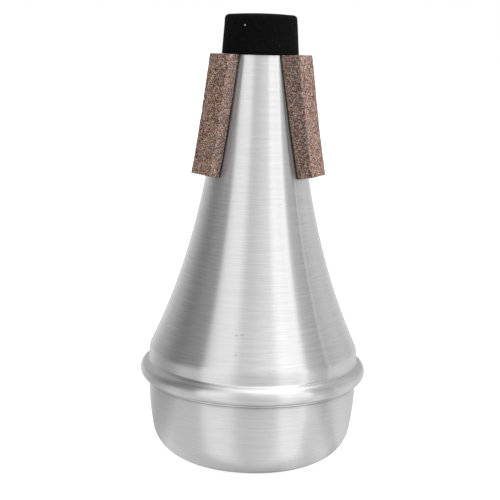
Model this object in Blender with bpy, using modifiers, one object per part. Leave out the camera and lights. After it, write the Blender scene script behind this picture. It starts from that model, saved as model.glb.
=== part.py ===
"""Straight trumpet mute: a spun aluminium cone and base cup, three cork strips and a foam plug.

Metres, +Z up. The flat of the base cup lies on Z = 0 and every turned piece shares the Z axis.
The front of the mute, midway between the two front cork strips, faces -Y.
"""

from math import acos, asin, atan, atan2, cos, pi, radians, sin, sqrt, tan

import bmesh
import bpy

# Fits and sheet
CLEARANCE = 0.0003          # left between pieces that seat on, or sit inside, each other
SHEET = 0.0008              # aluminium sheet that both shells are spun from

# Base cup, below the bead
CUP_STEP = 0.0030           # how far its wall stands inside the bead's outermost line
CUP_CORNER_RADIUS = 0.0117  # round between the flat bottom and the wall
CUP_BELLY_RADIUS = 0.0873   # slow curve of the wall above that round
SEAM_HEIGHT = 0.02565       # cut edge of the cone's lip above the bottom

# Rolled bead that joins the shells
BEAD_RADIUS = 0.0381        # outermost radius of the mute
BEAD_ROUND = 0.0031         # radius of the bead's own section
LIP_HEIGHT = 0.0007         # lip turned down under the bead
LIP_STEP = 0.0004           # how far the lip stands proud of the cup's wall
BEAD_CREASE = 0.0008        # hollow round between the bead and the shoulder
MOUTH_ROUND = 0.0005        # round where the cup's mouth turns out into its flange

# Cone, above the bead
BODY_HEIGHT = 0.1349        # rim of the neck above the bottom
SHOULDER_STEP = 0.0029      # how far the upright wall stands inside the bead's outermost line
SHOULDER_WALL = 0.0024      # height of that upright wall, above the crease
SHOULDER_ROUND = 0.0055     # round from the upright wall into the flare
FLARE_SLOPE = 0.4686        # radius lost for each unit of height at the shoulder
NECK_SLOPE = 0.112          # the same at the neck
NECK_RADIUS = 0.0117        # outside of the neck at its rim

# Cork strips and the glue under them
CORK_WIDTH = 0.0111         # of the outer face
CORK_THICKNESS = 0.0040     # at the middle of the strip
CORK_LENGTH = 0.0390        # down from the rim of the neck, along the axis
CORK_EDGE = 0.0004          # corners worn off the strip
CORK_FRONT_ANGLE = 60       # degrees from the front line to each front strip
CORK_LEAN = 2.5             # degrees by which a front strip's foot leans away from the front
CORK_UNDERCUT = 17          # degrees by which one side slants in under the face
GLUE_THICKNESS = 0.0003

# Foam plug
PLUG_HEAD_HEIGHT = 0.0126   # edge of the head above its seat
PLUG_HEAD_RADIUS = 0.0126   # at the seat
PLUG_TOP_RADIUS = 0.0118    # at the top edge, before it is rounded
PLUG_EDGE_ROUND = 0.0015
PLUG_CROWN = 0.0004         # rise of the top's middle over its edge
PLUG_SPIGOT_LENGTH = 0.013  # part that stands in the neck
PLUG_SPIGOT_CHAMFER = 0.0010

# Smoothness of the curves
TURN_STEPS = 48
FLARE_STEPS = 14
CORK_STEPS = 6
SHARP_ANGLE = radians(32)

# Where the pieces meet
bead_center_r = BEAD_RADIUS - BEAD_ROUND
bead_center_z = SEAM_HEIGHT + LIP_HEIGHT + BEAD_ROUND
bead_inside = BEAD_ROUND - SHEET
cup_wall_radius = BEAD_RADIUS - CUP_STEP
lip_radius = cup_wall_radius + LIP_STEP
mouth_radius = lip_radius - SHEET - CLEARANCE
ledge_height = SEAM_HEIGHT - CLEARANCE
flange_height = bead_center_z - bead_inside / 2
shoulder_radius = BEAD_RADIUS - SHOULDER_STEP
crease_r = shoulder_radius + BEAD_CREASE
crease_reach = BEAD_ROUND + BEAD_CREASE
crease_z = bead_center_z + sqrt(crease_reach ** 2 - (crease_r - bead_center_r) ** 2)
shoulder_height = crease_z + SHOULDER_WALL
flare_tilt = atan(FLARE_SLOPE)
flare_foot_z = shoulder_height + SHOULDER_ROUND * sin(flare_tilt)
flare_foot_r = shoulder_radius - SHOULDER_ROUND * (1 - cos(flare_tilt))
flare_height = BODY_HEIGHT - flare_foot_z
glue_offset = CLEARANCE
cork_offset = glue_offset + GLUE_THICKNESS + CLEARANCE
cork_face_offset = cork_offset + CORK_THICKNESS
cork_foot_z = BODY_HEIGHT - CORK_LENGTH
cork_middle_z = BODY_HEIGHT - CORK_LENGTH / 2
plug_seat_z = BODY_HEIGHT + CLEARANCE


def arc(center_r, center_z, radius, start, end, steps):
    """Points (r, z) on a circle, from one angle to another; angle 0 points outward, pi/2 up."""
    angles = [start + (end - start) * i / steps for i in range(steps + 1)]
    return [(center_r + radius * cos(a), center_z + radius * sin(a)) for a in angles]


def flare_radius(z):
    """Outside radius of the flare, which steepens from the neck's slope to the shoulder's."""
    mean_slope = (flare_foot_r - NECK_RADIUS) / flare_height
    power = (FLARE_SLOPE - NECK_SLOPE) / (mean_slope - NECK_SLOPE)
    depth = (BODY_HEIGHT - z) / flare_height
    spread = NECK_SLOPE * depth + (mean_slope - NECK_SLOPE) * depth ** power
    return NECK_RADIUS + flare_height * spread


def flare_point(z, offset):
    """Point (r, z) that stands off the flare by offset, square to its surface."""
    span = flare_height / 1000
    lower = max(z - span, flare_foot_z)
    tilt = atan((flare_radius(lower) - flare_radius(lower + span)) / span)
    return flare_radius(z) + offset * cos(tilt), z + offset * sin(tilt)


def flare_heights(low):
    """Heights of the flare's rings from the rim down to the first one at or below low."""
    heights = []
    for i in range(FLARE_STEPS + 1):
        heights.append(BODY_HEIGHT - flare_height * i / FLARE_STEPS)
        if heights[-1] <= low:
            break
    return heights


def rim_point(offset):
    """Point (r, z) level with the rim of the neck, on a line that stands off the flare."""
    return NECK_RADIUS + offset / cos(atan(NECK_SLOPE)), BODY_HEIGHT


def flare_line(offset, low):
    """Profile that stands off the flare, cut level with the rim of the neck."""
    return [rim_point(offset)] + [flare_point(z, offset) for z in flare_heights(low)[1:]]


def new_collection(name):
    collection = bpy.data.collections.new(name)
    bpy.context.scene.collection.children.link(collection)
    return collection


def make_material(name, color, roughness, metallic):
    material = bpy.data.materials.new(name)
    material.use_nodes = True
    shader = material.node_tree.nodes["Principled BSDF"]
    shader.inputs["Base Color"].default_value = (*color, 1)
    shader.inputs["Roughness"].default_value = roughness
    shader.inputs["Metallic"].default_value = metallic
    material.diffuse_color = (*color, 1)
    return material


def turned(name, profile, collection, closed=False):
    """Turn a profile of (r, z) points about Z; an open one runs down the piece's outer side."""
    mesh = bpy.data.meshes.new(name)
    obj = bpy.data.objects.new(name, mesh)
    collection.objects.link(obj)
    bm = bmesh.new()
    verts = [bm.verts.new((r, 0, z)) for r, z in profile]
    for upper, lower in zip(verts, verts[1:]):
        bm.edges.new((upper, lower))
    if closed:
        bm.edges.new((verts[-1], verts[0]))
    bm.to_mesh(mesh)
    bm.free()
    screw = obj.modifiers.new("Turn", "SCREW")
    screw.axis = "Z"
    screw.angle = 2 * pi
    screw.steps = TURN_STEPS
    screw.render_steps = TURN_STEPS
    screw.use_merge_vertices = True
    screw.merge_threshold = 0.00001
    return obj


def add_sheet(obj):
    """Give a turned surface the thickness of the sheet, on its inner side."""
    solidify = obj.modifiers.new("Sheet", "SOLIDIFY")
    solidify.thickness = SHEET
    solidify.offset = -1
    solidify.use_even_offset = True
    solidify.use_quality_normals = True


def add_boolean(obj, operation, other):
    boolean = obj.modifiers.new(operation.title(), "BOOLEAN")
    boolean.operation = operation
    boolean.solver = "EXACT"
    boolean.object = other


def bake_modifiers(obj):
    """Replace an object's mesh by what its modifiers make of it."""
    bpy.context.view_layer.update()
    evaluated = obj.evaluated_get(bpy.context.evaluated_depsgraph_get())
    mesh = bpy.data.meshes.new_from_object(evaluated)
    obj.modifiers.clear()
    obj.data = mesh
    return obj


def finish(obj, material):
    """Bake a piece, shade it smooth between its sharp edges and give it its material."""
    bake_modifiers(obj)
    obj.data.name = obj.name
    obj.data.shade_smooth()
    obj.data.set_sharp_from_angle(angle=SHARP_ANGLE)
    obj.data.materials.clear()
    obj.data.materials.append(material)
    return obj


def make_guide(obj):
    """Mark an object as a cutter, which only shapes others."""
    obj.hide_render = True
    obj.display_type = "WIRE"
    return obj


def cone_profile():
    """Outer line of the cone: neck, flare, shoulder, crease, bead and turned-down lip."""
    line = flare_line(0, flare_foot_z)
    line += arc(shoulder_radius - SHOULDER_ROUND, shoulder_height, SHOULDER_ROUND, flare_tilt, 0, 4)[1:]
    # The crease touches the upright wall and the bead's round, on the outside of both.
    lean = atan2(crease_z - bead_center_z, crease_r - bead_center_r)
    line += arc(crease_r, crease_z, BEAD_CREASE, pi, pi + lean, 4)
    lip_angle = acos((lip_radius - bead_center_r) / BEAD_ROUND)
    line += arc(bead_center_r, bead_center_z, BEAD_ROUND, lean, -lip_angle, 12)[1:]
    line.append((lip_radius, SEAM_HEIGHT))
    return line


def make_cone_body(collection, material):
    """Spun cone, open at the neck and inside the bead."""
    obj = turned("cone_body", cone_profile(), collection)
    add_sheet(obj)
    return finish(obj, material)


def cup_profile():
    """Outer line of the cup: flange in the bead, mouth, ledge under the lip, wall and bottom."""
    drop = bead_center_z - flange_height
    flange_radius = bead_center_r + sqrt((bead_inside - CLEARANCE) ** 2 - drop ** 2)
    line = [(flange_radius, flange_height)]
    line += arc(mouth_radius + MOUTH_ROUND, flange_height - MOUTH_ROUND, MOUTH_ROUND, pi / 2, pi, 3)
    line += [(mouth_radius, ledge_height), (cup_wall_radius, ledge_height)]
    # The belly's round stands upright at the seam and runs into the corner's without a break.
    belly_r = cup_wall_radius - CUP_BELLY_RADIUS
    corner_angle = asin((ledge_height - CUP_CORNER_RADIUS) / (CUP_BELLY_RADIUS - CUP_CORNER_RADIUS))
    corner_r = belly_r + (CUP_BELLY_RADIUS - CUP_CORNER_RADIUS) * cos(corner_angle)
    line += arc(belly_r, ledge_height, CUP_BELLY_RADIUS, 0, -corner_angle, 4)[1:]
    line += arc(corner_r, CUP_CORNER_RADIUS, CUP_CORNER_RADIUS, -corner_angle, -pi / 2, 9)[1:]
    line.append((0, 0))
    return line


def make_base_cup(collection, material):
    """Spun cup whose mouth is flanged inside the bead, so the two shells can't part."""
    obj = turned("base_cup", cup_profile(), collection)
    add_sheet(obj)
    return finish(obj, material)


def make_joint_sealant(collection, material):
    """Ring of sealant squeezed between the cup's flange and the roof of the bead."""
    floor_z = flange_height + SHEET + CLEARANCE
    roof_z = bead_center_z + bead_inside - CLEARANCE
    section = arc(bead_center_r, (floor_z + roof_z) / 2, (roof_z - floor_z) / 2, 0, -2 * pi, 8)[:-1]
    obj = turned("joint_sealant", section, collection, closed=True)
    return finish(obj, material)


def make_strip_block(name, angle, slant, collection, above=0):
    """Box bent down the flare to a strip's face, sides and ends, reaching into the cone behind."""
    edge_reach = CORK_WIDTH / 2 + abs(slant) * CORK_LENGTH / 2
    sagitta = NECK_RADIUS - sqrt(NECK_RADIUS ** 2 - edge_reach ** 2)
    deepest = sagitta + CORK_EDGE + CLEARANCE
    undercut = (cork_face_offset + deepest) * tan(radians(CORK_UNDERCUT))
    bm = bmesh.new()
    bmesh.ops.create_cube(bm, size=1)
    for i in range(1, CORK_STEPS):
        everything = bm.verts[:] + bm.edges[:] + bm.faces[:]
        cut = (0, 0, i / CORK_STEPS - 0.5)
        bmesh.ops.bisect_plane(bm, geom=everything, dist=0.00001, plane_co=cut, plane_no=(0, 0, 1))
    # In the box, x runs from the back to the face, y across the strip and z up it.
    for vert in bm.verts:
        depth, width, height = vert.co
        offset = cork_face_offset if depth > 0 else -deepest
        # The foot is cut square to the cone, the top level with the neck's rim.
        if height < 0.5:
            r, z = flare_point(cork_middle_z + CORK_LENGTH * height, offset)
        else:
            r, z = rim_point(offset)
            z += above
        across = CORK_WIDTH * width + slant * CORK_LENGTH * height
        if depth < 0 < width:
            across -= undercut
        vert.co = (r, across, z)
    mesh = bpy.data.meshes.new(name)
    bm.to_mesh(mesh)
    bm.free()
    block = bpy.data.objects.new(name, mesh)
    block.rotation_euler.z = angle
    collection.objects.link(block)
    return block


def make_flare_core(collection):
    """Solid flare that hollows the back of each cork strip to fit round the cone."""
    wall = flare_line(cork_offset, cork_foot_z - CORK_WIDTH)
    above = BODY_HEIGHT + CORK_THICKNESS
    profile = [(0, above), (wall[0][0], above)] + wall + [(0, wall[-1][1])]
    return make_guide(turned("flare_core", profile, collection))


def make_cork_strip(name, angle, slant, collection, material, core):
    """Strip of cork with worn corners and a back hollowed to the cone."""
    obj = make_strip_block(name, angle, slant, collection)
    bevel = obj.modifiers.new("Worn corners", "BEVEL")
    bevel.width = CORK_EDGE
    bevel.segments = 1
    bevel.limit_method = "ANGLE"
    bevel.angle_limit = radians(40)
    add_boolean(obj, "DIFFERENCE", core)
    return finish(obj, material)


def make_glue_layer(name, angle, slant, collection, material, cutters):
    """Layer of glue between the cone and a strip, cut from a turned sleeve level with the neck."""
    block = make_guide(make_strip_block(name + "_block", angle, slant, cutters, above=GLUE_THICKNESS))
    outer = flare_line(glue_offset + GLUE_THICKNESS, cork_foot_z)
    inner = flare_line(glue_offset, cork_foot_z)
    obj = turned(name, outer + inner[::-1], collection, closed=True)
    add_boolean(obj, "INTERSECT", block)
    return finish(obj, material)


def make_end_plug(collection, material):
    """Foam plug: a tapered head with a rounded edge, and a spigot that fits the neck."""
    spigot_radius = NECK_RADIUS - SHEET - CLEARANCE
    edge_z = PLUG_HEAD_HEIGHT - PLUG_EDGE_ROUND
    edge = arc(PLUG_TOP_RADIUS - PLUG_EDGE_ROUND, edge_z, PLUG_EDGE_ROUND, pi / 2, 0, 4)
    foot = -PLUG_SPIGOT_LENGTH
    profile = [(0, PLUG_HEAD_HEIGHT + PLUG_CROWN)] + edge
    profile += [(PLUG_HEAD_RADIUS, 0), (spigot_radius, 0), (spigot_radius, foot + PLUG_SPIGOT_CHAMFER)]
    profile += [(spigot_radius - PLUG_SPIGOT_CHAMFER, foot), (0, foot)]
    obj = turned("end_plug", profile, collection)
    obj.location.z = plug_seat_z
    return finish(obj, material)


def main():
    for obj in list(bpy.data.objects):
        bpy.data.objects.remove(obj)
    parts = new_collection("trumpet_mute")
    cutters = new_collection("cutters")

    aluminium = make_material("spun_aluminium", (0.80, 0.80, 0.81), 0.32, 1.0)
    base_aluminium = make_material("cup_aluminium", (0.78, 0.78, 0.79), 0.36, 1.0)
    sealant = make_material("sealant", (0.30, 0.29, 0.27), 0.7, 0.0)
    cork = make_material("agglomerate_cork", (0.26, 0.15, 0.11), 0.85, 0.0)
    glue = make_material("dark_glue", (0.035, 0.022, 0.018), 0.6, 0.0)
    foam = make_material("black_foam", (0.008, 0.008, 0.008), 0.9, 0.0)

    make_cone_body(parts, aluminium)
    make_base_cup(parts, base_aluminium)
    make_joint_sealant(parts, sealant)
    core = make_flare_core(cutters)
    front = -pi / 2
    apart = radians(CORK_FRONT_ANGLE)
    slant = tan(radians(CORK_LEAN))
    for side, turn, lean in [("left", -apart, slant), ("right", apart, -slant), ("rear", pi, 0)]:
        make_cork_strip("cork_" + side, front + turn, lean, parts, cork, core)
        make_glue_layer("glue_" + side, front + turn, lean, parts, glue, cutters)
    make_end_plug(parts, foam)


main()
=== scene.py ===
"""Studio scene of a straight trumpet mute: spun aluminium shells, cork strips and a foam plug."""

from math import acos, asin, atan, atan2, cos, pi, radians, sin, sqrt, tan

import bmesh
import bpy
from mathutils import Matrix, Vector, noise


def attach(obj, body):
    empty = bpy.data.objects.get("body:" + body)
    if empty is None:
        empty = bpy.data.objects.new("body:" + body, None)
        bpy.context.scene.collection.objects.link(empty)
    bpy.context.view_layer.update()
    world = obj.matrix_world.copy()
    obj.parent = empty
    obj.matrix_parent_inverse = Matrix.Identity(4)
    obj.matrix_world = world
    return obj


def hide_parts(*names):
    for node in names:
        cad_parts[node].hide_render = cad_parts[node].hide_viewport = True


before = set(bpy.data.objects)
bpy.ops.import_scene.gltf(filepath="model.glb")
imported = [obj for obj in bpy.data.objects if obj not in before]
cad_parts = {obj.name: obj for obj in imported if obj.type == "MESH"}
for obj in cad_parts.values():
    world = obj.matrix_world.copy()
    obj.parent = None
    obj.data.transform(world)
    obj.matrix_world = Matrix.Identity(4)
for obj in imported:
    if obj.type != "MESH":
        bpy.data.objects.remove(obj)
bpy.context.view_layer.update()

# Camera
# A long lens stands a little above the rim of the neck and looks down on the mute, which leans
# slightly in the frame. Its place is given round the mute's axis, from the front at -Y.
CAMERA_DISTANCE = 0.39648
CAMERA_HEIGHT = 0.14358
CAMERA_AZIMUTH = radians(-4.56)
CAMERA_YAW = radians(4.30)
CAMERA_PITCH = radians(10.548)
CAMERA_ROLL = radians(1.415)
CAMERA_LENS = 86.33

camera = bpy.data.objects.new("camera", bpy.data.cameras.new("camera"))
bpy.context.scene.collection.objects.link(camera)
camera.data.lens = CAMERA_LENS
camera.data.sensor_width = 36
camera.data.clip_start = 0.01
stand = CAMERA_DISTANCE * Vector((sin(CAMERA_AZIMUTH), -cos(CAMERA_AZIMUTH), 0))
stand.z = CAMERA_HEIGHT
turn = Matrix.Rotation(-CAMERA_YAW, 4, "Z") @ Matrix.Rotation(pi / 2 - CAMERA_PITCH, 4, "X")
camera.matrix_world = Matrix.Translation(stand) @ turn @ Matrix.Rotation(CAMERA_ROLL, 4, "Z")
bpy.context.scene.camera = camera
bpy.context.scene.view_settings.view_transform = "Standard"


# Cone
# The cone is one piece of aluminium sheet, spun on a former from the neck out to the shoulder.
# Its edge is rolled into a hollow bead and turned down as a lip over the cup's mouth.
SHEET = 0.0008
NECK_RADIUS = 0.0117
NECK_SLOPE = 0.112
BODY_HEIGHT = 0.1349
SHOULDER_RADIUS = 0.0352
SHOULDER_HEIGHT = 0.03564
SHOULDER_ROUND = 0.0055
FLARE_SLOPE = 0.4686
BEAD_RADIUS = 0.0381
BEAD_ROUND = 0.0031
BEAD_CREASE = 0.0008
SEAM_HEIGHT = 0.02595
LIP_HEIGHT = 0.0004
LIP_RADIUS = 0.0355
SPIN_STEPS = 192
FLARE_RINGS = 70
CUT_EDGE_ROUND = 0.00012
RIM_TURN = 0.00003
RIM_TURN_LENGTH = 0.0004

flare_tilt = atan(FLARE_SLOPE)
flare_foot_z = SHOULDER_HEIGHT + SHOULDER_ROUND * sin(flare_tilt)
flare_foot_r = SHOULDER_RADIUS - SHOULDER_ROUND * (1 - cos(flare_tilt))
flare_height = BODY_HEIGHT - flare_foot_z
mean_slope = (flare_foot_r - NECK_RADIUS) / flare_height
flare_power = (FLARE_SLOPE - NECK_SLOPE) / (mean_slope - NECK_SLOPE)
bead_center_r = BEAD_RADIUS - BEAD_ROUND
bead_center_z = SEAM_HEIGHT + LIP_HEIGHT + BEAD_ROUND


def flare_radius(z):
    depth = max(0, BODY_HEIGHT - z) / flare_height
    spread = NECK_SLOPE * depth + (mean_slope - NECK_SLOPE) * depth ** flare_power
    return NECK_RADIUS + flare_height * spread


def flare_lean(z):
    depth = max(0, BODY_HEIGHT - z) / flare_height
    return atan(NECK_SLOPE + (mean_slope - NECK_SLOPE) * flare_power * depth ** (flare_power - 1))


def arc(center_r, center_z, radius, start, end, steps):
    angles = [start + (end - start) * i / steps for i in range(steps + 1)]
    return [(center_r + radius * cos(a), center_z + radius * sin(a)) for a in angles]


def spin_line(name, line, closed=False):
    """Spin a line of (r, z) points round the axis, and return the object."""
    bm = bmesh.new()
    verts = [bm.verts.new((r, 0, z)) for r, z in line]
    edges = [bm.edges.new(pair) for pair in zip(verts, verts[1:])]
    if closed:
        edges.append(bm.edges.new((verts[-1], verts[0])))
    bmesh.ops.spin(
        bm, geom=verts + edges, cent=(0, 0, 0), axis=(0, 0, 1), angle=2 * pi, steps=SPIN_STEPS, use_merge=True
    )
    bmesh.ops.remove_doubles(bm, verts=bm.verts, dist=0.000005)
    bmesh.ops.recalc_face_normals(bm, faces=bm.faces)
    middle = Vector((0, 0, (line[0][1] + line[-1][1]) / 2))
    facing = sum(f.calc_area() * f.normal.dot(f.calc_center_median() - middle) for f in bm.faces)
    if facing < 0:
        bmesh.ops.reverse_faces(bm, faces=bm.faces)
    return object_from(bm, name)


def object_from(bm, name, sharp=35):
    mesh = bpy.data.meshes.new(name)
    bm.to_mesh(mesh)
    bm.free()
    mesh.shade_smooth()
    mesh.set_sharp_from_angle(angle=radians(sharp))
    obj = bpy.data.objects.new(name, mesh)
    bpy.context.scene.collection.objects.link(obj)
    return obj


def give_wall(obj):
    """Thicken a spun surface inward to the sheet's gauge, with its cut edges just broken."""
    wall = obj.modifiers.new("Sheet", "SOLIDIFY")
    wall.thickness = SHEET
    wall.offset = -1
    wall.use_even_offset = True
    edges = obj.modifiers.new("Cut edges", "BEVEL")
    edges.width = CUT_EDGE_ROUND
    edges.segments = 2
    edges.limit_method = "ANGLE"
    edges.angle_limit = radians(60)


class Nodes:
    """Short way to add nodes to one material and join them."""

    def __init__(self, name):
        self.material = bpy.data.materials.new(name)
        self.material.use_nodes = True
        self.tree = self.material.node_tree
        self.shader = self.tree.nodes["Principled BSDF"]

    def add(self, kind, inputs=None, **settings):
        node = self.tree.nodes.new(kind)
        for key, value in settings.items():
            setattr(node, key, value)
        for key, value in (inputs or {}).items():
            self.feed(node, key, value)
        return node

    def feed(self, node, key, value):
        if isinstance(value, bpy.types.NodeSocket):
            self.tree.links.new(value, node.inputs[key])
        else:
            node.inputs[key].default_value = value

    def math(self, operation, a, b=0.0, clamp=False):
        node = self.add("ShaderNodeMath", {0: a, 1: b}, operation=operation, use_clamp=clamp)
        return node.outputs[0]

    def ramp(self, factor, stops):
        node = self.add("ShaderNodeValToRGB", {0: factor})
        elements = node.color_ramp.elements
        while len(elements) < len(stops):
            elements.new(0.5)
        for element, (place, color) in zip(elements, stops):
            element.position = place
            element.color = (*color, 1) if isinstance(color, tuple) else (color, color, color, 1)
        return node.outputs[0]

    def mix(self, factor, a, b, blend="MIX"):
        node = self.add("ShaderNodeMix", data_type="RGBA", blend_type=blend)
        for index, value in ((0, factor), (6, a), (7, b)):
            if isinstance(value, tuple):
                value = (*value, 1)
            self.feed(node, index, value)
        return node.outputs[2]


def ring_lines(nodes, per_metre, around):
    """Fine rings left by the brush: narrow along the wall, long round it."""
    coords = nodes.add("ShaderNodeTexCoord")
    x, y, z = nodes.add("ShaderNodeSeparateXYZ", {0: coords.outputs["Object"]}).outputs
    radius = nodes.math("SQRT", nodes.math("ADD", nodes.math("MULTIPLY", x, x), nodes.math("MULTIPLY", y, y)))
    upright = nodes.add("ShaderNodeSeparateXYZ", {0: coords.outputs["Normal"]}).outputs[2]
    flatness = nodes.ramp(nodes.math("ABSOLUTE", upright), [(0.62, 0.0), (0.80, 1.0)])
    lines = []
    for across in (z, radius):
        place = nodes.add(
            "ShaderNodeCombineXYZ",
            {0: nodes.math("MULTIPLY", x, around), 1: nodes.math("MULTIPLY", y, around),
             2: nodes.math("MULTIPLY", across, per_metre)},
        ).outputs[0]
        lines.append(nodes.add("ShaderNodeTexNoise", {"Vector": place, "Scale": 1.0, "Detail": 2.0}).outputs[0])
    return nodes.mix(flatness, lines[0], lines[1])


def spun_metal(name, color, shade, roughness, painted_shade_heights, pits=()):
    """Aluminium brushed round its axis: clear across the mute, smeared along its height.

    Painted shade that darkens the metal under the bead, by the seam and along the foot is given as
    heights in mm with an amount at each, and pits, painted as dark spots of shade, by their places.
    """
    nodes = Nodes(name)
    fine = ring_lines(nodes, 2600, 100)
    broad = ring_lines(nodes, 900, 40)
    lines = nodes.math("ADD", nodes.math("MULTIPLY", fine, 0.85), nodes.math("MULTIPLY", broad, 0.15))
    tone = nodes.ramp(lines, [(0.38, shade), (0.62, color)])
    place = nodes.add("ShaderNodeTexCoord").outputs["Object"]
    height = nodes.add("ShaderNodeSeparateXYZ", {0: place}).outputs[2]
    # Painted shade: the metal is darker at the given heights, broken up by noise.
    layer = nodes.ramp(nodes.math("MULTIPLY", height, 1000 / 50), [(mm / 50, amount) for mm, amount in painted_shade_heights])
    spread = nodes.add("ShaderNodeTexNoise", {"Vector": place, "Scale": 90, "Detail": 2}).outputs[0]
    painted_darkening = nodes.math("MULTIPLY", layer, nodes.ramp(spread, [(0.35, 0.45), (0.62, 1.0)]))
    tone = nodes.mix(painted_darkening, tone, (0.30, 0.29, 0.28))
    # Each pit is painted as a small dark spot: painted shade of a dent that the mesh doesn't have.
    for pit in pits:
        apart = nodes.add("ShaderNodeVectorMath", {0: place, 1: pit}, operation="SUBTRACT").outputs[0]
        # A pit is longer round the mute than along it.
        apart = nodes.add("ShaderNodeVectorMath", {0: apart, 1: (1, 1, 1.6)}, operation="MULTIPLY").outputs[0]
        far = nodes.add("ShaderNodeVectorMath", {0: apart}, operation="LENGTH").outputs["Value"]
        pit_shade = nodes.ramp(nodes.math("MULTIPLY", far, 1000), [(PIT_RADIUS * 500, 0.9), (PIT_RADIUS * 1000, 0.0)])
        tone = nodes.mix(pit_shade, tone, (0.05, 0.05, 0.05))
    nodes.feed(nodes.shader, "Base Color", tone)
    gloss = nodes.add("ShaderNodeMapRange", {0: fine, 3: roughness - 0.04, 4: roughness + 0.05})
    nodes.feed(nodes.shader, "Roughness", gloss.outputs[0])
    nodes.feed(nodes.shader, "Metallic", 1.0)
    nodes.feed(nodes.shader, "Anisotropic", 1.0)
    nodes.feed(nodes.shader, "Anisotropic Rotation", 0.25)
    tangent = nodes.add("ShaderNodeTangent", direction_type="RADIAL", axis="Z")
    nodes.feed(nodes.shader, "Tangent", tangent.outputs[0])
    bump = nodes.add("ShaderNodeBump", {"Strength": 0.3, "Distance": 0.00002, "Height": fine})
    nodes.feed(nodes.shader, "Normal", bump.outputs[0])
    return nodes.material


crease_r = SHOULDER_RADIUS + BEAD_CREASE
crease_z = bead_center_z + sqrt((BEAD_ROUND + BEAD_CREASE) ** 2 - (crease_r - bead_center_r) ** 2)
crease_lean = atan2(crease_z - bead_center_z, crease_r - bead_center_r)
lip_angle = acos((LIP_RADIUS - bead_center_r) / BEAD_ROUND)
flare_stations = [BODY_HEIGHT - flare_height * i / FLARE_RINGS for i in range(FLARE_RINGS + 1)]
cone_line = []
for i in range(6):
    depth = RIM_TURN_LENGTH * i / 6
    cone_line.append((flare_radius(BODY_HEIGHT - depth) + RIM_TURN * (1 - i / 6) ** 2, BODY_HEIGHT - depth))
cone_line += [(flare_radius(z), z) for z in flare_stations[1:]]
cone_line += arc(SHOULDER_RADIUS - SHOULDER_ROUND, SHOULDER_HEIGHT, SHOULDER_ROUND, flare_tilt, 0, 8)[1:]
cone_line += arc(crease_r, crease_z, BEAD_CREASE, pi, pi + crease_lean, 10)
cone_line += arc(bead_center_r, bead_center_z, BEAD_ROUND, crease_lean, -lip_angle, 40)[1:]
cone_line.append((LIP_RADIUS, SEAM_HEIGHT))

cone = spin_line("spun_cone", cone_line)
give_wall(cone)
# Painted shade under the bead and along its lip: height in mm and amount.
bead_painted_shade = [(25.9, 0.30), (26.2, 0.08), (26.45, 0.06), (26.75, 0.72), (26.95, 0.72), (27.3, 0.12), (27.9, 0.0)]
PIT_RADIUS = 0.00030
pits = [(-0.00590, -0.02971, 0.04806), (-0.00765, -0.02945, 0.04780), (-0.00791, -0.03190, 0.04192)]
brushed_cone = spun_metal("brushed_cone", (0.93, 0.93, 0.932), (0.867, 0.867, 0.869), 0.24, bead_painted_shade, pits)
cone.data.materials.append(brushed_cone)
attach(cone, "mute")
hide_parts("cone_body")


# Base cup
# The cup is spun from the same sheet. Its mouth is stepped in under the cone's lip and flanged
# out inside the bead, so that the two shells lock together and stand on its flat bottom.
CLEARANCE = 0.0003
LEDGE_GAP = 0.0002
CUP_WALL_RADIUS = 0.0351
CUP_CORNER_RADIUS = 0.0117
CUP_BELLY_RADIUS = 0.0873
MOUTH_ROUND = 0.0005

bead_inside = BEAD_ROUND - SHEET
mouth_radius = LIP_RADIUS - SHEET - CLEARANCE
ledge_height = SEAM_HEIGHT - LEDGE_GAP
flange_height = bead_center_z - bead_inside / 2
flange_radius = bead_center_r + sqrt((bead_inside - CLEARANCE) ** 2 - (bead_center_z - flange_height) ** 2)
belly_r = CUP_WALL_RADIUS - CUP_BELLY_RADIUS
corner_angle = asin((ledge_height - CUP_CORNER_RADIUS) / (CUP_BELLY_RADIUS - CUP_CORNER_RADIUS))
corner_r = belly_r + (CUP_BELLY_RADIUS - CUP_CORNER_RADIUS) * cos(corner_angle)
cup_line = [(flange_radius, flange_height)]
cup_line += arc(mouth_radius + MOUTH_ROUND, flange_height - MOUTH_ROUND, MOUTH_ROUND, pi / 2, pi, 6)
cup_line += [(mouth_radius, ledge_height), (CUP_WALL_RADIUS, ledge_height)]
cup_line += arc(belly_r, ledge_height, CUP_BELLY_RADIUS, 0, -corner_angle, 18)[1:]
cup_line += arc(corner_r, CUP_CORNER_RADIUS, CUP_CORNER_RADIUS, -corner_angle, -pi / 2, 36)[1:]
cup_line += [(corner_r * (1 - i / 12), 0) for i in range(1, 13)]

cup = spin_line("spun_cup", cup_line)
give_wall(cup)
# Painted shade along the foot and below the seam: height in mm and amount.
cup_painted_shade = [(0.8, 0.65), (1.6, 0.55), (2.4, 0.15), (3.2, 0.0), (20.5, 0.0), (23.5, 0.05), (24.8, 0.14), (25.6, 0.55)]
brushed_cup = spun_metal("brushed_cup", (0.92, 0.92, 0.922), (0.865, 0.865, 0.867), 0.235, cup_painted_shade)
cup.data.materials.append(brushed_cup)
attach(cup, "mute")
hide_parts("base_cup")


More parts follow.
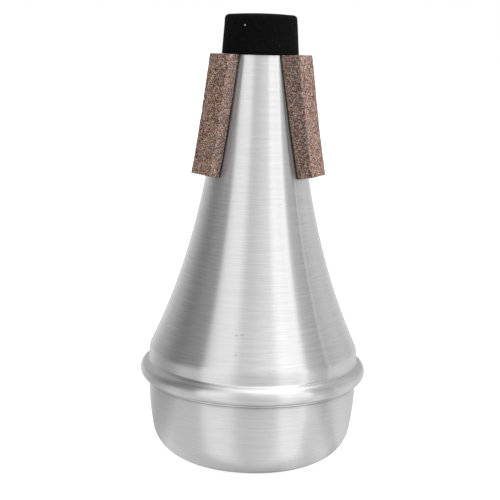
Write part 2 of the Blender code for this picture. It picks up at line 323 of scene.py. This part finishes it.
# Joint sealant
# A bead of grey compound is squeezed between the cup's flange and the roof of the rolled bead,
# where it stops the shells from buzzing. It doesn't show from outside.
sealant_floor = flange_height + SHEET + CLEARANCE
sealant_roof = bead_center_z + bead_inside - CLEARANCE
sealant_line = arc(bead_center_r, (sealant_floor + sealant_roof) / 2, (sealant_roof - sealant_floor) / 2, 0, -2 * pi, 16)
sealant = spin_line("sealant_ring", sealant_line[:-1], closed=True)
nodes = Nodes("sealing_compound")
smear = nodes.add("ShaderNodeTexNoise", {"Vector": nodes.add("ShaderNodeTexCoord").outputs["Object"], "Scale": 400})
nodes.feed(nodes.shader, "Base Color", nodes.ramp(smear.outputs[0], [(0.3, (0.24, 0.23, 0.21)), (0.7, (0.36, 0.35, 0.33))]))
nodes.feed(nodes.shader, "Roughness", 0.7)
sealant.data.materials.append(nodes.material)
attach(sealant, "mute")
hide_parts("joint_sealant")


# Cork strips
# Three strips of pressed cork granules grip the trumpet's bell. Each is cut square, bent down the
# flare and hollowed at the back to sit on the cone, with its top trimmed level with the neck.
CORK_WIDTH = 0.0111
CORK_LENGTH = 0.0395
CORK_BACK_GAP = 0.0004
CORK_SIDE_GAP = 0.0004
CORK_FACE_GAP = 0.0049
SQUARE_CUT_LENGTH = 0.006
CORK_UNDERCUT = radians(17)
CORK_CORNER = 0.00022
CORK_WEAR = 0.00006
CORK_GRAIN = 0.0005
CORK_FRONT_ANGLE = radians(60)
CORK_LEAN = radians(2.5)
WEAR_SEED = 5

# Wear is drawn by chance. With its seed set, every run draws the same.
noise.seed_set(WEAR_SEED)


def cork_material():
    nodes = Nodes("pressed_cork")
    coords = nodes.add("ShaderNodeTexCoord")
    place = coords.outputs["Object"]
    warp = nodes.add("ShaderNodeTexNoise", {"Vector": place, "Scale": 900, "Detail": 2})
    shift = nodes.add("ShaderNodeVectorMath", {0: warp.outputs["Color"], 1: (0.5, 0.5, 0.5)}, operation="SUBTRACT")
    bent = nodes.add("ShaderNodeVectorMath", {0: shift.outputs[0], 1: (0.0004, 0.0004, 0.0004)}, operation="MULTIPLY")
    moved = nodes.add("ShaderNodeVectorMath", {0: place, 1: bent.outputs[0]}, operation="ADD").outputs[0]
    grains = nodes.add("ShaderNodeTexVoronoi", {"Vector": moved, "Scale": 3300})
    cell = nodes.add("ShaderNodeSeparateColor", {0: grains.outputs["Color"]}).outputs[0]
    tone = nodes.ramp(cell, [
        (0.00, (0.030, 0.012, 0.008)), (0.22, (0.10, 0.044, 0.029)), (0.46, (0.29, 0.152, 0.106)),
        (0.68, (0.53, 0.320, 0.242)), (0.88, (0.80, 0.58, 0.48)), (1.00, (0.90, 0.74, 0.65)),
    ])
    patches = nodes.add("ShaderNodeTexNoise", {"Vector": place, "Scale": 260, "Detail": 3})
    tone = nodes.mix(nodes.ramp(patches.outputs[0], [(0.44, 0.0), (0.64, 0.32)]), tone, (0.26, 0.20, 0.185))
    gaps = nodes.add("ShaderNodeTexVoronoi", {"Vector": moved, "Scale": 3300}, feature="DISTANCE_TO_EDGE")
    seam = nodes.ramp(gaps.outputs[0], [(0.0, 0.55), (0.10, 0.0)])
    tone = nodes.mix(seam, tone, (0.055, 0.03, 0.024))
    # The sides of each strip are coloured greyer than its faces.
    outward = nodes.add("ShaderNodeVectorMath", {0: place, 1: (1, 1, 0)}, operation="MULTIPLY").outputs[0]
    outward = nodes.add("ShaderNodeVectorMath", {0: outward}, operation="NORMALIZE").outputs[0]
    facing = nodes.add("ShaderNodeVectorMath", {0: coords.outputs["Normal"], 1: outward}, operation="DOT_PRODUCT")
    side = nodes.ramp(facing.outputs["Value"], [(0.50, 0.22), (0.75, 0.0)])
    tone = nodes.mix(side, tone, (0.22, 0.195, 0.190))
    # Painted reflection: where the brushed metal mirrors the cork, the cork is painted paler and greyer, as a haze.
    painted_haze = nodes.math("MULTIPLY", nodes.add("ShaderNodeLightPath").outputs["Is Glossy Ray"], 0.75)
    tone = nodes.mix(painted_haze, tone, (0.34, 0.335, 0.33))
    nodes.feed(nodes.shader, "Base Color", tone)
    nodes.feed(nodes.shader, "Roughness", 0.86)
    nodes.feed(nodes.shader, "Specular IOR Level", 0.25)
    height = nodes.math("ADD", nodes.math("MULTIPLY", gaps.outputs[0], 0.8), nodes.math("MULTIPLY", cell, 0.35))
    bump = nodes.add("ShaderNodeBump", {"Strength": 0.8, "Distance": 0.00012, "Height": height})
    nodes.feed(nodes.shader, "Normal", bump.outputs[0])
    return nodes.material


def slice_bar(bm, axis, low, high, count):
    """Cut a bar across one axis so that it can bend there."""
    for i in range(1, count):
        spot = Vector((0, 0, 0))
        normal = Vector((0, 0, 0))
        spot[axis] = low + (high - low) * i / count
        normal[axis] = 1
        everything = bm.verts[:] + bm.edges[:] + bm.faces[:]
        bmesh.ops.bisect_plane(bm, geom=everything, dist=0.0000001, plane_co=spot, plane_no=normal)


def hollow(z, gap, across):
    """How far out a surface lies that stands off the cone by a gap, at one side of its middle."""
    return sqrt((flare_radius(z) + gap / cos(flare_lean(z))) ** 2 - across ** 2)


def bent_strip(name, angle, slant, setback, back_gaps, face_gaps, flat_face, corner, wear):
    """A square bar, sliced, bent down the cone and a little worn.

    Gaps from the cone are given for the middle and the sides. The back is hollowed to the cone,
    and so is the face unless it's flat.
    """
    thick = face_gaps[0] - back_gaps[0]
    width = CORK_WIDTH - 2 * setback
    bm = bmesh.new()
    bmesh.ops.create_cube(bm, size=1)
    bmesh.ops.scale(bm, vec=(width, thick, CORK_LENGTH), verts=bm.verts)
    if corner:
        bmesh.ops.bevel(
            bm, geom=bm.edges[:], offset=corner, offset_type="OFFSET", segments=3, profile=0.5,
            affect="EDGES", material=-1,
        )
    slice_bar(bm, 2, -CORK_LENGTH / 2, CORK_LENGTH / 2, 66)
    slice_bar(bm, 0, -width / 2, width / 2, 18)
    if wear:
        slice_bar(bm, 1, -thick / 2, thick / 2, 7)
    for vert in bm.verts:
        depth = vert.co.y / thick + 0.5
        down = CORK_LENGTH / 2 - vert.co.z
        edge = (2 * vert.co.x / width) ** 2
        back = back_gaps[0] + (back_gaps[1] - back_gaps[0]) * edge
        face = face_gaps[0] + (face_gaps[1] - face_gaps[0]) * edge
        z = BODY_HEIGHT - down
        lean = flare_lean(z)
        plane = flare_radius(z) + CORK_FACE_GAP * cos(lean)
        across = vert.co.x + slant * vert.co.z
        # One side slants in under the face, as the knife left it.
        sunk = (1 - depth * flat_face) * (plane - hollow(z, back, across))
        across -= (vert.co.x / width + 0.5) * sunk * tan(CORK_UNDERCUT)
        behind = hollow(z, back, across)
        front = plane if flat_face else hollow(z, face, across)
        out = behind + (front - behind) * depth
        # The foot is cut square to the cone, the top level with the rim of the neck.
        rise = depth * face * sin(lean) * min(1, down / SQUARE_CUT_LENGTH)
        vert.co = (
            out * cos(angle) - across * sin(angle),
            out * sin(angle) + across * cos(angle),
            z + rise,
        )
        if wear and depth > 0.05:
            seed = vert.co / CORK_GRAIN
            vert.co += noise.noise_vector(seed) * wear + noise.noise_vector(seed / 5) * wear * 1.5
    bmesh.ops.recalc_face_normals(bm, faces=bm.faces)
    return object_from(bm, name, 50)


cork = cork_material()
# Each strip's place round the neck, and the slant by which its foot leans away from the front.
strip_places = {
    "left": (-pi / 2 - CORK_FRONT_ANGLE, tan(CORK_LEAN)),
    "right": (-pi / 2 + CORK_FRONT_ANGLE, -tan(CORK_LEAN)),
    "rear": (pi / 2, 0),
}
for side, (angle, slant) in strip_places.items():
    strip = bent_strip(
        "cork_strip_" + side, angle, slant, 0, (CORK_BACK_GAP, CORK_SIDE_GAP),
        (CORK_FACE_GAP, CORK_FACE_GAP), True, CORK_CORNER, CORK_WEAR,
    )
    strip.data.materials.append(cork)
    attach(strip, "mute")
    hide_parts("cork_" + side)


# Glue
# A thin dark film of contact glue holds each strip. Its near-black colour is partly painted shade: the shadow line in
# the gap between cork and metal.
GLUE_GAP = 0.00004
GLUE_SIDE_FACE = 0.00034
GLUE_SETBACK = 0.0004

nodes = Nodes("contact_glue_and_painted_shade")
film = nodes.add("ShaderNodeTexNoise", {"Vector": nodes.add("ShaderNodeTexCoord").outputs["Object"], "Scale": 700})
# Near black: the glue's own colour, and painted shade of the gap under the cork.
nodes.feed(nodes.shader, "Base Color", nodes.ramp(film.outputs[0], [(0.35, (0.020, 0.012, 0.010)), (0.7, (0.060, 0.034, 0.026))]))
nodes.feed(nodes.shader, "Roughness", 0.55)
glue = nodes.material
for side, (angle, slant) in strip_places.items():
    layer = bent_strip(
        "glue_film_" + side, angle, slant, GLUE_SETBACK, (GLUE_GAP, GLUE_GAP),
        (CORK_BACK_GAP - GLUE_GAP, GLUE_SIDE_FACE), False, 0, 0,
    )
    layer.data.materials.append(glue)
    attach(layer, "mute")
    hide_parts("glue_" + side)


# End plug
# A plug of black closed-cell foam is pushed into the neck. Its head tapers up to a rounded edge
# and a slightly crowned top, and its spigot stands in the bore.
PLUG_HEAD_HEIGHT = 0.0126
PLUG_HEAD_RADIUS = 0.0126
PLUG_TOP_RADIUS = 0.0118
PLUG_EDGE_ROUND = 0.0015
PLUG_CROWN = 0.0004
PLUG_SPIGOT_LENGTH = 0.013
PLUG_SPIGOT_CHAMFER = 0.0010
PLUG_SEAT_GAP = 0.00005
PLUG_CRUMB_PLACE = (-0.00593, -0.01036, 0.14406)
PLUG_UNEVEN = 0.00016
PLUG_UNEVEN_LENGTH = 0.0017

seat = BODY_HEIGHT + PLUG_SEAT_GAP
spigot_radius = NECK_RADIUS - SHEET - CLEARANCE
edge_r = PLUG_TOP_RADIUS - PLUG_EDGE_ROUND
edge_z = PLUG_HEAD_HEIGHT - PLUG_EDGE_ROUND
plug_line = []
for i in range(16):
    r = edge_r * i / 16
    plug_line.append((r, PLUG_HEAD_HEIGHT + PLUG_CROWN * (1 - (r / edge_r) ** 2)))
plug_line += arc(edge_r, edge_z, PLUG_EDGE_ROUND, pi / 2, 0, 10)
plug_line += [(PLUG_TOP_RADIUS + (PLUG_HEAD_RADIUS - PLUG_TOP_RADIUS) * i / 20, edge_z * (1 - i / 20)) for i in range(1, 21)]
plug_line += [(spigot_radius, 0), (spigot_radius, PLUG_SPIGOT_CHAMFER - PLUG_SPIGOT_LENGTH)]
plug_line += [(spigot_radius - PLUG_SPIGOT_CHAMFER, -PLUG_SPIGOT_LENGTH), (0, -PLUG_SPIGOT_LENGTH)]
plug = spin_line("foam_plug", [(r, z + seat) for r, z in plug_line])
# The foam was cut by hand, so that its top edge is a little uneven.
for vert in plug.data.vertices:
    rise = (vert.co.z - seat) / PLUG_HEAD_HEIGHT
    if rise > 0.6:
        uneven = PLUG_UNEVEN * (rise - 0.6) / 0.4
        shift = noise.noise_vector(vert.co / PLUG_UNEVEN_LENGTH)
        vert.co += uneven * Vector((shift.x, shift.y, min(0, 2 * shift.z)))

nodes = Nodes("closed_cell_foam")
place = nodes.add("ShaderNodeTexCoord").outputs["Object"]
pores = nodes.add("ShaderNodeTexNoise", {"Vector": place, "Scale": 2400, "Detail": 3})
tone = nodes.ramp(pores.outputs[0], [(0.35, (0.0010, 0.0010, 0.0010)), (0.68, (0.0072, 0.0072, 0.0072))])
dust = nodes.add("ShaderNodeTexVoronoi", {"Vector": place, "Scale": 620})
speck = nodes.ramp(dust.outputs["Distance"], [(0.06, 1.0), (0.13, 0.0)])
chosen = nodes.ramp(nodes.add("ShaderNodeSeparateColor", {0: dust.outputs["Color"]}).outputs[1], [(0.60, 0.0), (0.99, 1.0)])
tone = nodes.mix(nodes.math("MULTIPLY", speck, chosen), tone, (0.095, 0.095, 0.095))
# One white crumb of dust sticks to the front.
crumb = nodes.add("ShaderNodeVectorMath", {0: place, 1: PLUG_CRUMB_PLACE}, operation="DISTANCE")
near = nodes.math("MULTIPLY", crumb.outputs["Value"], 1000)
tone = nodes.mix(nodes.ramp(near, [(0.20, 1.0), (0.28, 0.0)]), tone, (0.80, 0.79, 0.77))
nodes.feed(nodes.shader, "Base Color", tone)
nodes.feed(nodes.shader, "Roughness", 0.88)
nodes.feed(nodes.shader, "Specular IOR Level", 0.12)
bump = nodes.add("ShaderNodeBump", {"Strength": 0.5, "Distance": 0.00006, "Height": pores.outputs[0]})
nodes.feed(nodes.shader, "Normal", bump.outputs[0])
plug.data.materials.append(nodes.material)
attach(plug, "plug")
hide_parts("end_plug")


# Studio
# The mute stands on a plain white table in a light tent, with a strip light to each side of the
# camera and darker cards beyond them, which the brushed metal shows as upright bands.
FLOOR_SIZE = 6.0
TABLE_GLOSS = 0.46
# Painted light of the table round the mute, as the metal mirrors it: degrees from the front, to the right, and level.
TABLE_BANDS = [
    (-180, 1.00), (-160, 1.00), (-145, 0.98), (-130, 0.68), (-118, 0.52), (-108, 0.50), (-98, 0.58),
    (-88, 0.74), (-78, 0.98), (-62, 0.94), (-45, 0.88), (-32, 0.80), (-16, 0.64), (0, 0.58), (10, 0.58),
    (16, 0.62), (22, 0.83), (29, 0.87), (39, 0.79), (48, 0.92), (56, 0.97), (64, 0.70), (72, 0.60),
    (80, 0.88), (95, 0.92), (110, 0.85), (128, 0.90), (150, 1.00), (180, 1.00),
]

bm = bmesh.new()
bmesh.ops.create_grid(bm, x_segments=1, y_segments=1, size=FLOOR_SIZE)
table = object_from(bm, "table_top")
nodes = Nodes("white_table")
path = nodes.add("ShaderNodeLightPath")
# The metal mirrors the table with the tent's light and shade painted on as a glow, and a painted shadow under the
# mute.
place = nodes.add("ShaderNodeTexCoord").outputs["Object"]
x, y, _ = nodes.add("ShaderNodeSeparateXYZ", {0: place}).outputs
away = nodes.math("SQRT", nodes.math("ADD", nodes.math("MULTIPLY", x, x), nodes.math("MULTIPLY", y, y)))
# Painted shadow: the mirrored glow and the table's clear share fade out towards the foot of the mute.
shade = nodes.ramp(nodes.math("MULTIPLY", away, 2), [
    (0.043, 0.0), (0.048, 0.12), (0.055, 0.75), (0.078, 1.0), (0.14, 0.88), (0.60, 0.86), (0.95, 1.0),
])
around = nodes.math("ARCTAN2", x, nodes.math("MULTIPLY", y, -1))
turned = nodes.add("ShaderNodeMapRange", {0: around, 1: -pi, 2: pi}).outputs[0]
painted_light = nodes.ramp(turned, [(degrees / 360 + 0.5, level) for degrees, level in TABLE_BANDS])
painted_glow = nodes.math("MULTIPLY", nodes.math("MULTIPLY", shade, painted_light), path.outputs["Is Glossy Ray"])
white = nodes.mix(path.outputs["Is Glossy Ray"], (0.45, 0.45, 0.45), (0.0, 0.0, 0.0))
nodes.feed(nodes.shader, "Base Color", white)
nodes.feed(nodes.shader, "Roughness", 0.9)
nodes.feed(nodes.shader, "Specular IOR Level", 0.0)
shown = nodes.math("ADD", path.outputs["Is Camera Ray"], path.outputs["Is Transmission Ray"])
glow = nodes.math("ADD", nodes.math("MULTIPLY", shown, 0.88), painted_glow)
nodes.feed(nodes.shader, "Emission Color", (1, 1, 1, 1))
nodes.feed(nodes.shader, "Emission Strength", glow)
# Its own gloss carries the bands of the tent on to below the horizon.
through = nodes.math("MULTIPLY", nodes.math("MULTIPLY", shade, TABLE_GLOSS), path.outputs["Is Glossy Ray"])
clear = nodes.add("ShaderNodeBsdfTransparent").outputs[0]
both = nodes.add("ShaderNodeMixShader", {0: through, 1: nodes.shader.outputs[0], 2: clear}).outputs[0]
nodes.feed(nodes.tree.nodes["Material Output"], "Surface", both)
table.data.materials.append(nodes.material)

# Brightness of the tent round the mute: degrees from the front, to the right, and level.
TENT_BANDS = [
    (-180, 0.45), (-150, 0.41), (-130, 0.36), (-118, 0.26), (-106, 0.18), (-98, 0.17), (-82, 0.22),
    (-72, 0.25), (-64, 0.35), (-58, 0.80), (-46, 0.90), (-31, 0.90), (-24, 0.74), (-18, 0.60),
    (-8, 0.60), (0, 0.66), (10, 0.73), (20, 0.77), (26, 0.98), (33, 1.07), (46, 1.01),
    (55, 1.20), (59.5, 0.62), (67, 0.47), (77, 0.45), (85.5, 0.25), (87.3, 0.94), (89, 0.40),
    (95, 0.47), (115, 0.54), (150, 0.42), (180, 0.45),
]
# Brightness of its roof across the mute, from the left at 0 to the right at 1.
ROOF_BANDS = [
    (0.24, 0.08), (0.29, 0.18), (0.34, 0.70), (0.44, 1.20), (0.58, 1.50), (0.72, 1.88), (0.79, 0.90),
]

world = bpy.data.worlds.new("light_tent")
bpy.context.scene.world = world
world.use_nodes = True
tree = world.node_tree
background = tree.nodes["Background"]


def world_node(kind, inputs=None, **settings):
    node = tree.nodes.new(kind)
    for key, value in settings.items():
        setattr(node, key, value)
    for key, value in (inputs or {}).items():
        if isinstance(value, bpy.types.NodeSocket):
            tree.links.new(value, node.inputs[key])
        else:
            node.inputs[key].default_value = value
    return node


def world_math(operation, a, b=0.0, c=0.0):
    return world_node("ShaderNodeMath", {0: a, 1: b, 2: c}, operation=operation).outputs[0]


direction = world_node("ShaderNodeSeparateXYZ", {0: world_node("ShaderNodeTexCoord").outputs["Generated"]})
azimuth = world_math("ARCTAN2", direction.outputs[0], world_math("MULTIPLY", direction.outputs[1], -1))
turned = world_node("ShaderNodeMapRange", {0: azimuth, 1: -pi, 2: pi}).outputs[0]
tent = world_node("ShaderNodeValToRGB", {0: turned})
stops = tent.color_ramp.elements
while len(stops) < len(TENT_BANDS):
    stops.new(0.5)
for stop, (degrees, level) in zip(stops, TENT_BANDS):
    stop.position = degrees / 360 + 0.5
    stop.color = (level, level, level, 1)
height = world_node("ShaderNodeMapRange", {0: direction.outputs[2], 1: 0.72, 2: 0.92}).outputs[0]
roof = world_node("ShaderNodeMix", data_type="RGBA")
tree.links.new(height, roof.inputs[0])
tree.links.new(tent.outputs[0], roof.inputs[6])
overhead = world_node("ShaderNodeValToRGB", {0: world_math("MULTIPLY_ADD", direction.outputs[0], 0.5, 0.5)})
stops = overhead.color_ramp.elements
while len(stops) < len(ROOF_BANDS):
    stops.new(0.5)
for stop, (across, level) in zip(stops, ROOF_BANDS):
    stop.position = across
    stop.color = (level, level, level, 1)
tree.links.new(overhead.outputs[0], roof.inputs[7])
seen = world_node("ShaderNodeMix", data_type="RGBA")
rays = world_node("ShaderNodeLightPath").outputs
clear_view = world_math("ADD", rays["Is Camera Ray"], rays["Is Transmission Ray"])
tree.links.new(clear_view, seen.inputs[0])
tree.links.new(roof.outputs[2], seen.inputs[6])
seen.inputs[7].default_value = (1, 1, 1, 1)
tree.links.new(seen.outputs[2], background.inputs[0])

# Two wide lamps that only the matt pieces show: name, degrees from the front, height, strength
# and colour, the right one a little cooler than the left.
LAMPS = [
    ("lamp_right", 76, 18, 1.52, (0.94, 1.0, 1.07)),
    ("lamp_left", -118, 15, 0.76, (1.03, 1.0, 0.97)),
]
LAMP_SPREAD = radians(25)
for name, azimuth, elevation, strength, color in LAMPS:
    lamp = bpy.data.objects.new(name, bpy.data.lights.new(name, "SUN"))
    bpy.context.scene.collection.objects.link(lamp)
    lamp.data.energy = strength
    lamp.data.color = color
    lamp.data.angle = LAMP_SPREAD
    lamp.rotation_euler = (pi / 2 - radians(elevation), 0, radians(azimuth))
    lamp.visible_glossy = False
